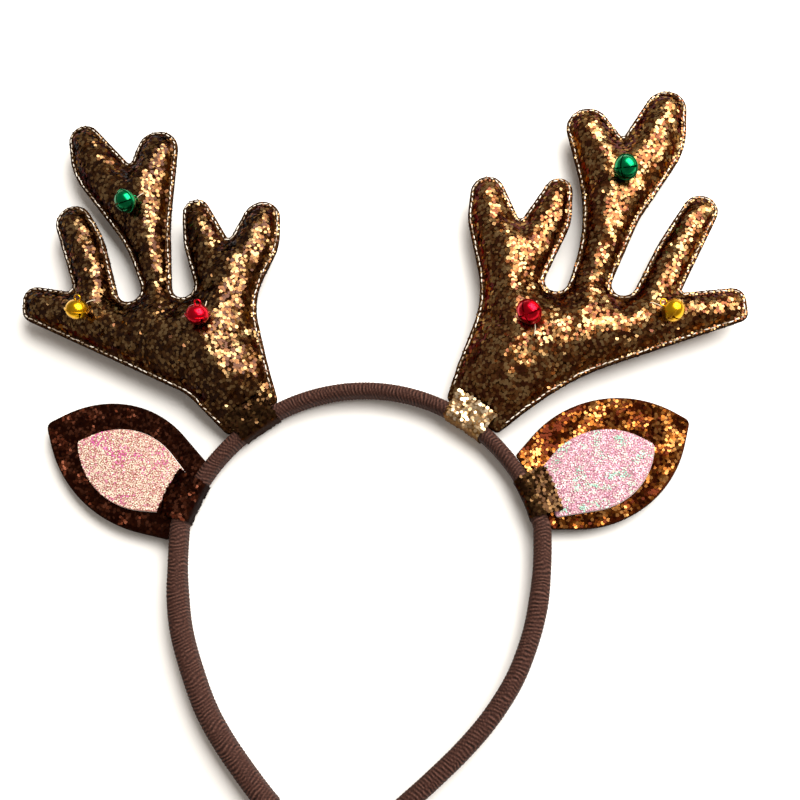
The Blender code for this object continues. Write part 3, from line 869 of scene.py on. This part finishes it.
def strip(name, side, start, end, reach, front, back, finish, slot, finishes):
    """A strip of glitter cloth wrapped round the hoop, with flakes on its outside."""
    path, steps = strip_path(reach, front, back)
    bm = bmesh.new()
    row = [bm.verts.new((0, spot[0], spot[1])) for spot in path]
    edges = [bm.edges.new(pair) for pair in zip(row, row[1:])]
    sweep = math.radians(end - start)
    bmesh.ops.spin(bm, geom=edges, cent=(0, 0, 0), axis=(0, 0, -1), angle=sweep, steps=STRIP_STEPS)
    bmesh.ops.rotate(bm, verts=bm.verts, cent=(0, 0, 0), matrix=Matrix.Rotation(-math.radians(start), 3, "Z"))
    bmesh.ops.scale(bm, verts=bm.verts, vec=(side, 1, 1))
    bmesh.ops.translate(bm, verts=bm.verts, vec=(*HOOP_CENTRE, 0))
    bmesh.ops.remove_doubles(bm, verts=bm.verts, dist=0.01)
    bmesh.ops.recalc_face_normals(bm, faces=bm.faces)
    middle = sum((vert.co for vert in bm.verts), Vector()) / len(bm.verts)
    outward = sum(face.normal.dot(face.calc_center_median() - middle) * face.calc_area() for face in bm.faces)
    if outward < 0:
        bmesh.ops.reverse_faces(bm, faces=bm.faces)
    bm.normal_update()
    for vert in bm.verts:
        vert.co += vert.normal * STRIP_CREASE * noise.noise(vert.co / 3.0)
    loose = scatter(f"{name}_flakes", sprinkle(bm, STRIP_FLAKES), hexagon(), [finishes[finish]])
    area = sum(face.calc_area() for face in bm.faces)
    bmesh.ops.solidify(bm, geom=bm.faces[:], thickness=STRIP_THICK)
    for vert in bm.verts:
        vert.co.z = max(vert.co.z, 0.1)
    bmesh.ops.recalc_face_normals(bm, faces=bm.faces)
    ground = finishes[finish.replace("flakes", "ground")]
    body = show(f"{name}_strip", place_mesh(name, bm, 40), [ground], [name])


# Bells


def bell_profile():
    """Outside of the shell from the loop end to the slots, with the rim that presses its halves together."""
    profile = []
    lean = math.asin(RIM_HALF / BELL_RADIUS)
    for step in range(15):
        angle = step / 14 * (math.pi / 2 - lean)
        profile.append((BELL_RADIUS * math.sin(angle), BELL_RADIUS * math.cos(angle)))
    rim = [
        (BELL_RADIUS + RIM_OUT * 0.75, RIM_HALF * 0.9),
        (BELL_RADIUS + RIM_OUT, RIM_HALF * 0.45),
        (BELL_RADIUS + RIM_OUT, -RIM_HALF * 0.45),
        (BELL_RADIUS + RIM_OUT * 0.75, -RIM_HALF * 0.9),
    ]
    return profile + rim + [(x, -z) for x, z in profile[::-1]]


def bell_shell():
    """The hollow shell, turned from its profile, still without slots."""
    bm = bmesh.new()
    outer = [bm.verts.new((x, 0, z)) for x, z in bell_profile()]
    inner_radius = BELL_RADIUS - BELL_WALL
    inner = []
    for step in range(25):
        angle = math.pi * step / 24
        inner.append(bm.verts.new((inner_radius * math.sin(angle), 0, inner_radius * math.cos(angle))))
    edges = [bm.edges.new(pair) for line in (outer, inner) for pair in zip(line, line[1:])]
    bmesh.ops.spin(bm, geom=edges, cent=(0, 0, 0), axis=(0, 0, 1), angle=math.tau, steps=40)
    bmesh.ops.remove_doubles(bm, verts=bm.verts, dist=0.002)
    bmesh.ops.recalc_face_normals(bm, faces=bm.faces)
    inside = [face for face in bm.faces if face.calc_center_median().length < BELL_RADIUS - BELL_WALL / 2]
    for face in inside:
        if face.normal.dot(face.calc_center_median()) > 0:
            face.normal_flip()
    return bm


def bell_cutter():
    """Two crossed bars with round ends, through the lower half of the shell."""
    bm = bmesh.new()
    turn_down = BELL_RADIUS - SLOT_DEEP
    past = BELL_RADIUS * 2.3
    size = Matrix.Diagonal((past, SLOT_WIDE, SLOT_DEEP + 1, 1))
    below = Matrix.Translation((0, 0, -turn_down - (SLOT_DEEP + 1) / 2))
    end = Matrix.Translation((0, 0, -turn_down)) @ Matrix.Rotation(math.radians(90), 4, "Y")
    for turn in (45, 135):
        matrix = Matrix.Rotation(math.radians(turn), 4, "Z")
        bmesh.ops.create_cube(bm, size=1, matrix=matrix @ below @ size)
        hole = {"radius1": SLOT_HOLE, "radius2": SLOT_HOLE, "depth": past, "matrix": matrix @ end}
        bmesh.ops.create_cone(bm, cap_ends=True, segments=20, **hole)
    return bm


def temporary(name, bm):
    """An object for one modifier's sake."""
    obj = add_object(name, plain_mesh(name, bm))
    bm.free()
    return obj


def slotted_bell():
    """The bell that all six share, in millimetres, with its loop up, its slots down and a ball inside."""
    shell, cutter = temporary("bell_shell", bell_shell()), temporary("bell_cutter", bell_cutter())
    cut = shell.modifiers.new("slots", "BOOLEAN")
    cut.operation = "DIFFERENCE"
    cut.object = cutter
    cut.solver = "EXACT"
    cut.use_self = True
    bm = bmesh.new()
    bake_shape(shell, bm)
    bpy.data.objects.remove(shell, do_unlink=True)
    bpy.data.objects.remove(cutter, do_unlink=True)
    ball = Matrix.Translation(BALL_SPOT)
    bmesh.ops.create_icosphere(bm, subdivisions=3, radius=BALL_RADIUS, matrix=ball)
    stand = Matrix.Translation((LOOP_RADIUS, 0, 0)) @ Matrix.Rotation(math.radians(90), 4, "X")
    circle = bmesh.ops.create_circle(bm, segments=10, radius=LOOP_WIRE, matrix=stand)["verts"]
    ring = list({edge for vert in circle for edge in vert.link_edges})
    before = set(bm.verts)
    bmesh.ops.spin(bm, geom=ring, cent=(0, 0, 0), axis=(0, 0, 1), angle=math.tau, steps=28)
    loop = [vert for vert in bm.verts if vert not in before] + circle
    bmesh.ops.rotate(bm, verts=loop, cent=(0, 0, 0), matrix=Matrix.Rotation(math.radians(90), 3, "X"))
    bmesh.ops.translate(bm, verts=loop, vec=(0, 0, BELL_RADIUS + LOOP_RADIUS - LOOP_WIRE * 1.4))
    bmesh.ops.remove_doubles(bm, verts=loop, dist=0.003)
    return bm


def bell_spot(surface, x, y):
    """The middle of a bell that its thread pulls down on the cover."""
    radius = BELL_RADIUS + RIM_OUT
    spot = Vector((x, y, ABOVE))
    spot.z = surface.ray_cast(spot, Vector((0, 0, -1)))[0].z + radius
    for _ in range(20):
        spot.z += radius - surface.find_nearest(spot)[3]
    return spot


def tube(name, points, radius, material):
    """A thread through points in millimetres."""
    curve = bpy.data.curves.new(name, "CURVE")
    curve.dimensions = "3D"
    curve.bevel_depth = radius
    curve.bevel_resolution = 2
    curve.use_fill_caps = True
    curve.resolution_u = 6
    spline = curve.splines.new("NURBS")
    spline.points.add(len(points) - 1)
    for spot, place in zip(spline.points, points):
        spot.co = (*place, 1)
    spline.use_endpoint_u = True
    spline.order_u = 4
    source = add_object(name, curve)
    bm = bmesh.new()
    bake_shape(source, bm)
    bpy.data.objects.remove(source, do_unlink=True)
    bmesh.ops.remove_doubles(bm, verts=bm.verts, dist=0.001)
    bmesh.ops.recalc_face_normals(bm, faces=bm.faces)
    show(name, place_mesh(name, bm, 60), [material])


def bell(name, pattern, surface, x, y, turn, dip, finish, finishes):
    """One bell on its antler, with its loop turned and dipped as its thread holds it."""
    bm = pattern.copy()
    spot = bell_spot(surface, x, y)
    squash = Matrix.Diagonal((1, 1, BELL_SQUASH, 1))
    stand = Matrix.Rotation(math.radians(turn), 4, "Z") @ Matrix.Rotation(-math.radians(90 + dip), 4, "X")
    bm.transform(Matrix.Translation(spot) @ stand @ squash)
    show(f"{name}_shell", place_mesh(name, bm, 40), [finishes[finish]], [name])


def bell_threads(surfaces, material):
    """Short strands that come out from under the bells, each with its ends in the cloth."""
    places = {row[0]: row for row in BELLS}
    for number, (name, x1, y1, x2, y2) in enumerate(THREADS):
        _, owner, x, y, _, _, finish = places[name]
        points = []
        for step in range(6):
            share = step / 5
            bow = math.sin(math.pi * share)
            spot = Vector((x + x1 + (x2 - x1) * share + THREAD_SWAY * bow, y + y1 + (y2 - y1) * share, ABOVE))
            ground = surfaces[owner].ray_cast(spot, Vector((0, 0, -1)))[0]
            points.append(Vector((spot.x, spot.y, ground.z + THREAD_ARCH * bow + THREAD_LIFT)))
        tube(f"{name}_thread_{number}", points, THREAD, material)


# Materials


def new_material(name, **values):
    """A material whose surface shader has these plain values."""
    material = bpy.data.materials.new(name)
    material.use_nodes = True
    shader = material.node_tree.nodes["Principled BSDF"]
    for socket, value in values.items():
        shader.inputs[socket.replace("_", " ")].default_value = value
    return material, material.node_tree, shader


def node(tree, kind, **values):
    """A new node with these settings."""
    made = tree.nodes.new(kind)
    for key, value in values.items():
        setattr(made, key, value)
    return made


def wire(source, output, target, entry):
    """Joins one node's output to another's input."""
    source.id_data.links.new(source.outputs[output], target.inputs[entry])


def colour_by(shader, source, output, stops):
    """The shader's colour runs along the stops with another node's value."""
    made = node(shader.id_data, "ShaderNodeValToRGB")
    elements = made.color_ramp.elements
    while len(elements) < len(stops):
        elements.new(0.5)
    for element, (place, colour) in zip(elements, stops):
        element.position = place
        element.color = (*colour, 1)
    wire(source, output, made, "Fac")
    wire(made, "Color", shader, "Base Color")


def make_group(name, inputs, outputs):
    """A shader node group with its input and output nodes."""
    tree = bpy.data.node_groups.new(name, "ShaderNodeTree")
    for label, kind, value in inputs:
        socket = tree.interface.new_socket(name=label, in_out="INPUT", socket_type=kind)
        socket.default_value = value
    for label, kind in outputs:
        tree.interface.new_socket(name=label, in_out="OUTPUT", socket_type=kind)
    return tree, tree.nodes.new("NodeGroupInput"), tree.nodes.new("NodeGroupOutput")


def use_group(tree, group, **values):
    """Places a group with these values."""
    made = node(tree, "ShaderNodeGroup", node_tree=group)
    for label, value in values.items():
        made.inputs[label].default_value = value
    return made


def grain_group():
    """Fine uneven grain, as a value from 0 to 1 and as a bumped normal."""
    inputs = [("Scale", "NodeSocketFloat", 900.0), ("Depth", "NodeSocketFloat", 0.2)]
    outputs = [("Value", "NodeSocketFloat"), ("Normal", "NodeSocketVector")]
    tree, given, out = make_group("fine_grain", inputs, outputs)
    place = node(tree, "ShaderNodeTexCoord")
    fine = node(tree, "ShaderNodeTexNoise")
    fine.inputs["Detail"].default_value = 3
    bump = node(tree, "ShaderNodeBump")
    bump.inputs["Distance"].default_value = 0.0002
    wire(place, "Object", fine, "Vector")
    wire(given, "Scale", fine, "Scale")
    wire(given, "Depth", bump, "Strength")
    wire(fine, "Fac", bump, "Height")
    wire(fine, "Fac", out, "Value")
    wire(bump, "Normal", out, "Normal")
    return tree


def flake_group():
    """Tone of each flake from 0 to 1, and how flat it lies.

    The tone is the flake's own chance mixed with broad patches, and is lowered on steep slopes as painted
    shade.
    """
    inputs = [("Patch scale", "NodeSocketFloat", 90.0), ("Patch share", "NodeSocketFloat", 0.4)]
    outputs = [("Tone", "NodeSocketFloat"), ("Flat", "NodeSocketFloat")]
    tree, given, out = make_group("flake_tone", inputs, outputs)
    own = node(tree, "ShaderNodeAttribute", attribute_name="tone")
    place = node(tree, "ShaderNodeTexCoord")
    patch = node(tree, "ShaderNodeTexNoise")
    patch.inputs["Detail"].default_value = 1
    mix = node(tree, "ShaderNodeMix")
    wire(place, "Object", patch, "Vector")
    wire(given, "Patch scale", patch, "Scale")
    wire(given, "Patch share", mix, "Factor")
    wire(own, "Fac", mix, "A")
    wire(patch, "Fac", mix, "B")
    level = node(tree, "ShaderNodeAttribute", attribute_name="level")
    flat = node(tree, "ShaderNodeMapRange", interpolation_type="SMOOTHSTEP")
    flat.inputs["From Min"].default_value, flat.inputs["From Max"].default_value = SLOPE_RANGE
    wire(level, "Fac", flat, "Value")
    # Painted shade: the tone of steep flakes is lowered
    painted_shade = node(tree, "ShaderNodeMath", operation="MULTIPLY_ADD")
    painted_shade.inputs[1].default_value = SLOPE_PAINTED_SHADE
    painted_shade.inputs[2].default_value = -SLOPE_PAINTED_SHADE
    wire(flat, "Result", painted_shade, 0)
    tone = node(tree, "ShaderNodeMath", operation="ADD")
    wire(mix, "Result", tone, 0)
    wire(painted_shade, "Value", tone, 1)
    wire(tone, "Value", out, "Tone")
    wire(flat, "Result", out, "Flat")
    return tree


# Steep flakes get painted shade, a darker tone: the slopes between which they turn dark, and by how much
SLOPE_RANGE = (0.5, 0.93)
SLOPE_PAINTED_SHADE = 0.25
FLAKES = {
    # name: roughness, metal, coat, size and share of patches, colours from the darkest tone to the lightest
    "bronze_flakes": (
        0.25, 1.0, 0.3, 230, 0.5,
        (
            (0.28, (0.066, 0.013, 0.001)),
            (0.43, (0.15, 0.048, 0.008)),
            (0.55, (0.24, 0.12, 0.038)),
            (0.7, (0.32, 0.2, 0.085)),
        ),
    ),
    # The bronze flakes again, darker, as painted shade on the left antler
    "bronze_flakes_painted_shade": (
        0.25, 1.0, 0.3, 230, 0.5,
        (
            (0.32, (0.028, 0.007, 0.001)),
            (0.48, (0.085, 0.03, 0.006)),
            (0.58, (0.17, 0.088, 0.028)),
            (0.72, (0.27, 0.17, 0.075)),
        ),
    ),
    "gold_flakes": (
        0.28, 1.0, 0.6, 160, 0.3,
        (
            (0.1, (0.14, 0.06, 0.02)),
            (0.4, (0.38, 0.23, 0.11)),
            (0.65, (0.62, 0.46, 0.27)),
            (0.9, (0.8, 0.66, 0.47)),
        ),
    ),
    "brown_flakes": (
        0.28, 1.0, 0.1, 160, 0.3,
        (
            (0.1, (0.018, 0.006, 0.001)),
            (0.5, (0.038, 0.017, 0.005)),
            (0.95, (0.11, 0.06, 0.022)),
        ),
    ),
    "copper_flakes": (
        0.27, 1.0, 0.05, 110, 0.6,
        (
            (0.42, (0.036, 0.005, 0.0006)),
            (0.51, (0.08, 0.02, 0.002)),
            (0.59, (0.22, 0.068, 0.01)),
            (0.71, (0.42, 0.19, 0.055)),
        ),
    ),
    "dark_flakes": (
        0.3, 1.0, 0.0, 140, 0.35,
        (
            (0.1, (0.016, 0.003, 0.0015)),
            (0.6, (0.035, 0.009, 0.004)),
            (0.95, (0.15, 0.05, 0.028)),
        ),
    ),
    "pink_flakes": (
        0.38, 0.1, 0.15, 210, 0.8,
        (
            (0.33, (0.26, 0.54, 0.42)),
            (0.39, (0.5, 0.56, 0.45)),
            (0.43, (0.54, 0.37, 0.39)),
            (0.56, (0.54, 0.23, 0.34)),
            (0.66, (0.64, 0.5, 0.48)),
        ),
    ),
    "peach_flakes": (
        0.38, 0.1, 0.15, 200, 0.62,
        (
            (0.28, (0.6, 0.1, 0.34)),
            (0.36, (0.62, 0.27, 0.33)),
            (0.48, (0.7, 0.56, 0.46)),
            (0.62, (0.76, 0.67, 0.52)),
            (0.78, (0.55, 0.22, 0.24)),
        ),
    ),
    "seam_thread": (
        0.4, 0.0, 0.2, 160, 0.0,
        (
            (0.0, (0.18, 0.12, 0.07)),
            (0.4, (0.5, 0.42, 0.33)),
            (0.8, (0.82, 0.76, 0.67)),
        ),
    ),
}
GROUNDS = {
    # name: roughness, metal, shine, the colours the grain runs between
    "bronze_ground": (0.5, 0.6, 0.05, (0.010, 0.004, 0.001), (0.04, 0.014, 0.004)),
    "gold_ground": (0.45, 0.6, 0.1, (0.10, 0.050, 0.014), (0.28, 0.16, 0.06)),
    "brown_ground": (0.5, 0.5, 0.05, (0.010, 0.004, 0.002), (0.030, 0.012, 0.005)),
    "copper_ground": (0.5, 0.6, 0.05, (0.016, 0.003, 0.001), (0.04, 0.008, 0.002)),
    "dark_ground": (0.55, 0.5, 0.05, (0.006, 0.002, 0.001), (0.014, 0.004, 0.003)),
    "pink_ground": (0.6, 0.0, 0.2, (0.20, 0.06, 0.10), (0.44, 0.22, 0.27)),
    "peach_ground": (0.6, 0.0, 0.2, (0.20, 0.060, 0.05), (0.42, 0.20, 0.15)),
    "cut_edge": (0.9, 0.0, 0.05, (0.006, 0.003, 0.002), (0.014, 0.007, 0.005)),
    "white_edge": (0.8, 0.0, 0.2, (0.70, 0.66, 0.62), (0.86, 0.83, 0.79)),
    "bell_thread": (0.6, 0.0, 0.3, (0.48, 0.40, 0.28), (0.70, 0.62, 0.48)),
}
EDGE_TINT = (0.30, 0.18, 0.10, 1)
METALS = {
    # name: colour at the front, colour in the hollows
    "green_metal": ((0.0, 0.23, 0.075), (0.0, 0.11, 0.034)),
    "red_metal": ((0.60, 0.002, 0.014), (0.32, 0.0, 0.006)),
    "yellow_metal": ((0.70, 0.38, 0.006), (0.38, 0.17, 0.003)),
}
# The ribbon's colour mixes painted shade between the ribs with the grain, by this share of grain
RIBBON_GRAIN = 0.55
RIBBON_STOPS = (
    (0.25, (0.006, 0.002, 0.001)),
    (0.5, (0.035, 0.0125, 0.0085)),
    (0.75, (0.102, 0.046, 0.033)),
)
FLOOR_STOPS = ((0.3, (0.88, 0.88, 0.88)), (0.7, (0.91, 0.91, 0.905)))


def flake_material(name, row, group):
    """Foil flakes: the flat ones have a clear coat; the steep ones have none and a darker tone, as painted
    shade.
    """
    roughness, metal, coat, size, share, stops = row
    material, tree, shader = new_material(name, Roughness=roughness, Metallic=metal, Coat_Roughness=0.12)
    if metal == 1:
        shader.inputs["Specular Tint"].default_value = EDGE_TINT
    tone = use_group(tree, group, **{"Patch share": share, "Patch scale": float(size)})
    colour_by(shader, tone, "Tone", stops)
    shine = node(tree, "ShaderNodeMath", operation="MULTIPLY")
    shine.inputs[1].default_value = coat
    wire(tone, "Flat", shine, 0)
    wire(shine, "Value", shader, "Coat Weight")
    return material


def ground_material(name, row, group):
    """The glue and cloth between the flakes, and bare cut edges, with a fine grain."""
    roughness, metal, shine, low, high = row
    material, tree, shader = new_material(name, Roughness=roughness, Metallic=metal, Specular_IOR_Level=shine)
    if metal > 0:
        shader.inputs["Specular Tint"].default_value = EDGE_TINT
    grain = use_group(tree, group, Scale=1400.0, Depth=0.5)
    colour_by(shader, grain, "Value", ((0.3, low), (0.7, high)))
    wire(grain, "Normal", shader, "Normal")
    return material


def metal_material(name, row, group):
    """Lacquered thin metal, a little uneven."""
    front, hollow = row
    material, tree, shader = new_material(
        name, Roughness=0.27, Metallic=1.0, Coat_Weight=0.1, Coat_Roughness=0.05
    )
    grain = use_group(tree, group, Scale=260.0, Depth=0.06)
    colour_by(shader, grain, "Value", ((0.25, hollow), (0.5, front)))
    wire(grain, "Normal", shader, "Normal")
    return material


def ribbon_material(group):
    """Dark brown ribbon, darkest between its ribs as painted shade, with the grain of its threads."""
    material, tree, shader = new_material("ribbon_brown", Roughness=0.8, Specular_IOR_Level=0.15)
    grain = use_group(tree, group, Scale=1800.0, Depth=0.6)
    rib_painted_shade = node(tree, "ShaderNodeAttribute", attribute_name="rib_painted_shade")
    mix = node(tree, "ShaderNodeMix")
    mix.inputs["Factor"].default_value = RIBBON_GRAIN
    wire(rib_painted_shade, "Fac", mix, "A")
    wire(grain, "Value", mix, "B")
    colour_by(shader, mix, "Result", RIBBON_STOPS)
    wire(grain, "Normal", shader, "Normal")
    return material


def floor_material(group):
    """An almost white floor."""
    material, tree, shader = new_material("pale_floor", Roughness=0.7)
    grain = use_group(tree, group, Scale=40.0, Depth=0.0)
    colour_by(shader, grain, "Value", FLOOR_STOPS)
    return material


def make_finishes():
    """All the materials, by name."""
    grain, tone = grain_group(), flake_group()
    finishes = {name: flake_material(name, row, tone) for name, row in FLAKES.items()}
    finishes.update({name: ground_material(name, row, grain) for name, row in GROUNDS.items()})
    finishes.update({name: metal_material(name, row, grain) for name, row in METALS.items()})
    finishes["ribbon_brown"] = ribbon_material(grain)
    finishes["pale_floor"] = floor_material(grain)
    return finishes


# Stage


def window():
    """The one light, a broad window up on the right."""
    data = bpy.data.lights.new("window", "AREA")
    data.shape = "RECTANGLE"
    data.size, data.size_y = WINDOW_SIZE
    data.energy = WINDOW_POWER
    data.color = WINDOW_COLOUR
    light = add_object("window", data)
    light.location = WINDOW_SPOT
    light.rotation_euler = (WINDOW_AIM - WINDOW_SPOT).to_track_quat("-Z", "Y").to_euler()


def stage(material):
    """Floor, window and the room's dim light."""
    bm = bmesh.new()
    bmesh.ops.create_grid(bm, x_segments=1, y_segments=1, size=FLOOR_SIZE)
    mesh = plain_mesh("floor", bm)
    bm.free()
    mesh.materials.append(material)
    add_object("floor", mesh)
    window()
    world = bpy.data.worlds.new("studio")
    world.use_nodes = True
    background = world.node_tree.nodes["Background"]
    background.inputs["Color"].default_value = ROOM_COLOUR
    background.inputs["Strength"].default_value = ROOM_STRENGTH
    bpy.context.scene.world = world
    bpy.context.scene.view_settings.view_transform = "Standard"


def photo_camera():
    """The camera that took the photo."""
    data = bpy.data.cameras.new("photo_camera")
    data.lens = CAMERA_LENS
    data.sensor_width = 36
    data.clip_start = 0.01
    camera = add_object("photo_camera", data)
    yaw = Matrix.Rotation(CAMERA_YAW, 3, "Y")
    pitch = Matrix.Rotation(CAMERA_PITCH, 3, "X")
    back = (Matrix.Rotation(CAMERA_ROLL, 3, "Z") @ pitch @ yaw).transposed()
    spot = -(back @ CAMERA_SHIFT) - CAMERA_AIM
    camera.matrix_world = Matrix.Translation(spot * MM) @ back.to_4x4()
    bpy.context.scene.camera = camera


def build():
    """Everything, from the hoop to the camera."""
    finishes = make_finishes()
    ribbon_hoop(finishes["ribbon_brown"])
    surfaces = {}
    for name, rows, side in (("antler_right", RIGHT_ANTLER, 1), ("antler_left", LEFT_ANTLER, -1)):
        surfaces[name] = antler(name, rows, side, finishes)
    ear_bottom = EAR_Z - EAR_THICK / 2
    leaf_bottom = EAR_Z + EAR_THICK / 2 + GAP
    for word, side, ear, leaf, ear_word, leaf_word in (
        ("right", 1, RIGHT_EAR, RIGHT_LEAF, "copper", "pink"),
        ("left", -1, LEFT_EAR, LEFT_LEAF, "dark", "peach"),
    ):
        ear_sheet(f"ear_{word}", ear, side, ear_bottom, EAR_THICK, EAR_FLAKES, ear_word, "cut_edge", finishes)
        leaf_name = f"ear_leaf_{word}"
        ear_sheet(
            leaf_name, leaf, side, leaf_bottom, LEAF_THICK, LEAF_FLAKES, leaf_word, "white_edge", finishes
        )
    for row in STRIPS:
        strip(*row, finishes)
    pattern = slotted_bell()
    for name, owner, x, y, turn, dip, finish in BELLS:
        bell(name, pattern, surfaces[owner], x, y, turn, dip, finish, finishes)
    pattern.free()
    bell_threads(surfaces, finishes["bell_thread"])
    stage(finishes["pale_floor"])
    photo_camera()


build()
